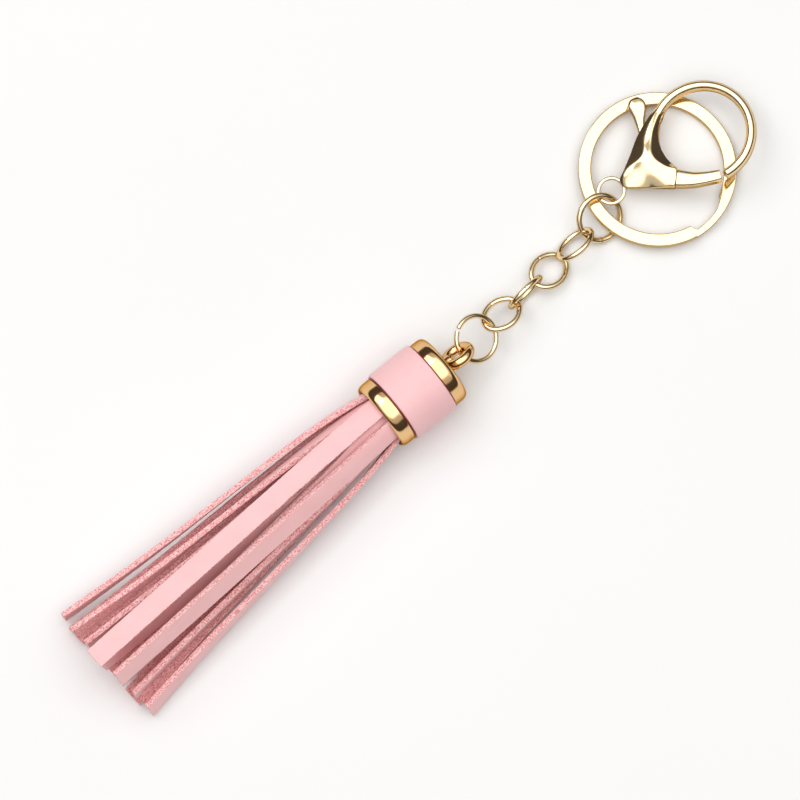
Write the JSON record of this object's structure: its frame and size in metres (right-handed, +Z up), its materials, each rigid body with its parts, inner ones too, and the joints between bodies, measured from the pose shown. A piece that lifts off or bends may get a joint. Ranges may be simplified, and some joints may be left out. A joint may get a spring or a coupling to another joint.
{
  "type": "tassel keychain",
  "caption": "Keychain with a leather fringe tassel in a metal cap, a short link chain, a flat split ring and a sprung lobster clasp.",
  "frame": {"origin": "centre of the underside of the whole object's box, on the table it lies on", "axes": "+X along the keychain from the tips of the fringe to the rings, +Y across it, +Z up from the table"},
  "size_m": [0.1759, 0.0324, 0.0163],
  "materials": {
    "plated_steel": "polished pale gold plate on flat steel wire",
    "plated_wire": "polished pale gold plate on round wire",
    "clasp_casting": "polished pale gold plate on a zinc casting",
    "clasp_lever": "polished pale gold plate",
    "pin_steel": "plain steel rivet",
    "spring_steel": "bright spring wire",
    "cap_casting": "polished rose gold plate on a zinc casting",
    "wrap_leather": "smooth pale pink leather, edges painted dark red",
    "core_leather": "rolled leather, suede side and glue",
    "fringe_leather": "smooth pale pink face, darker suede back and cut edges"
  },
  "bodies": {
    "tassel_head": {"tassel_cap": "cap_casting", "leather_wrap": "wrap_leather", "fringe_core": "core_leather", "strip_07": "fringe_leather", "strip_08": "fringe_leather", "strip_09": "fringe_leather", "strip_10": "fringe_leather", "strip_11": "fringe_leather", "strip_12": "fringe_leather", "strip_13": "fringe_leather", "strip_14": "fringe_leather"},
    "small_ring": {"small_jump_ring": "plated_wire"},
    "link_1": {"chain_link_1": "plated_wire"},
    "link_2": {"chain_link_2": "plated_wire"},
    "link_3": {"chain_link_3": "plated_wire"},
    "link_4": {"chain_link_4": "plated_wire"},
    "large_ring": {"large_jump_ring": "plated_wire"},
    "key_ring": {"key_ring": "plated_steel"},
    "clasp": {"clasp_body": "clasp_casting", "clasp_pin": "pin_steel", "clasp_spring": "spring_steel"},
    "clasp_lever": {"clasp_lever": "clasp_lever"},
    "strip_01": {"strip_01": "fringe_leather"},
    "strip_02": {"strip_02": "fringe_leather"},
    "strip_03": {"strip_03": "fringe_leather"},
    "strip_04": {"strip_04": "fringe_leather"},
    "strip_05": {"strip_05": "fringe_leather"},
    "strip_06": {"strip_06": "fringe_leather"}
  },
  "joints": [
    {"name": "small_ring_swing", "type": "hinge", "parent": "tassel_head", "child": "small_ring", "pos_m": [0.01122, -0.00194, 0.0081], "axis": [0.0367, 0.6007, -0.7986], "range_deg": [-25, 25]},
    {"name": "link_1_swing", "type": "hinge", "parent": "small_ring", "child": "link_1", "pos_m": [0.01846, -0.00149, 0.00559], "axis": [0.1206, 0.891, 0.4377], "range_deg": [-15, 15]},
    {"name": "link_2_swing", "type": "hinge", "parent": "link_1", "child": "link_2", "pos_m": [0.02539, -0.00101, 0.00436], "axis": [-0.0648, 0.9438, -0.3241], "range_deg": [-20, 20]},
    {"name": "link_3_swing", "type": "hinge", "parent": "link_2", "child": "link_3", "pos_m": [0.03231, -0.00059, 0.00365], "axis": [0.061, 0.0028, 0.9981], "range_deg": [-30, 30]},
    {"name": "link_4_swing", "type": "hinge", "parent": "link_3", "child": "link_4", "pos_m": [0.03891, -0.00054, 0.00102], "axis": [0.005, 0.9998, 0.0167], "range_deg": [-25, 25]},
    {"name": "large_ring_swing", "type": "hinge", "parent": "link_4", "child": "large_ring", "pos_m": [0.04654, -0.00013, 0.0033], "axis": [-0.0635, 0.627, -0.7764], "range_deg": [-20, 20]},
    {"name": "key_ring_swing", "type": "hinge", "parent": "large_ring", "child": "key_ring", "pos_m": [0.05133, 0.00046, 0.00303], "axis": [0.0629, -0.5428, 0.8375], "range_deg": [-26, 0]},
    {"name": "clasp_swing", "type": "hinge", "parent": "large_ring", "child": "clasp", "pos_m": [0.05415, 0.00227, 0.00399], "axis": [-0.4382, 0.7389, 0.5118], "range_deg": [-36, 0]},
    {"name": "gate_pivot", "type": "hinge", "parent": "clasp", "child": "clasp_lever", "pos_m": [0.06502, 0.00164, 0.00481], "axis": [-0.0615, 0.1336, 0.9891], "range_deg": [0, 18], "stiffness_Nm_per_rad": 0.02, "springref_deg": -20.05, "deforming": ["clasp_spring"]},
    {"name": "strip_01_lift", "type": "hinge", "parent": "tassel_head", "child": "strip_01", "pos_m": [-0.01065, 0.00069, 0.01346], "axis": [0, 0.9744, -0.225], "range_deg": [0, 20]},
    {"name": "strip_02_lift", "type": "hinge", "parent": "tassel_head", "child": "strip_02", "pos_m": [-0.01065, -0.00457, 0.01185], "axis": [0, 0.682, 0.7314], "range_deg": [0, 20]},
    {"name": "strip_03_lift", "type": "hinge", "parent": "tassel_head", "child": "strip_03", "pos_m": [-0.01065, -0.00581, 0.00649], "axis": [0, -0.2924, 0.9563], "range_deg": [0, 20]},
    {"name": "strip_04_lift", "type": "hinge", "parent": "tassel_head", "child": "strip_04", "pos_m": [-0.01065, -0.00179, 0.00274], "axis": [0, -0.9744, 0.225], "range_deg": [0, 20]},
    {"name": "strip_05_lift", "type": "hinge", "parent": "tassel_head", "child": "strip_05", "pos_m": [-0.01065, 0.00347, 0.00435], "axis": [0, -0.682, -0.7314], "range_deg": [0, 20]},
    {"name": "strip_06_lift", "type": "hinge", "parent": "tassel_head", "child": "strip_06", "pos_m": [-0.01065, 0.00471, 0.00971], "axis": [0, 0.2924, -0.9563], "range_deg": [0, 20]}
  ]
}
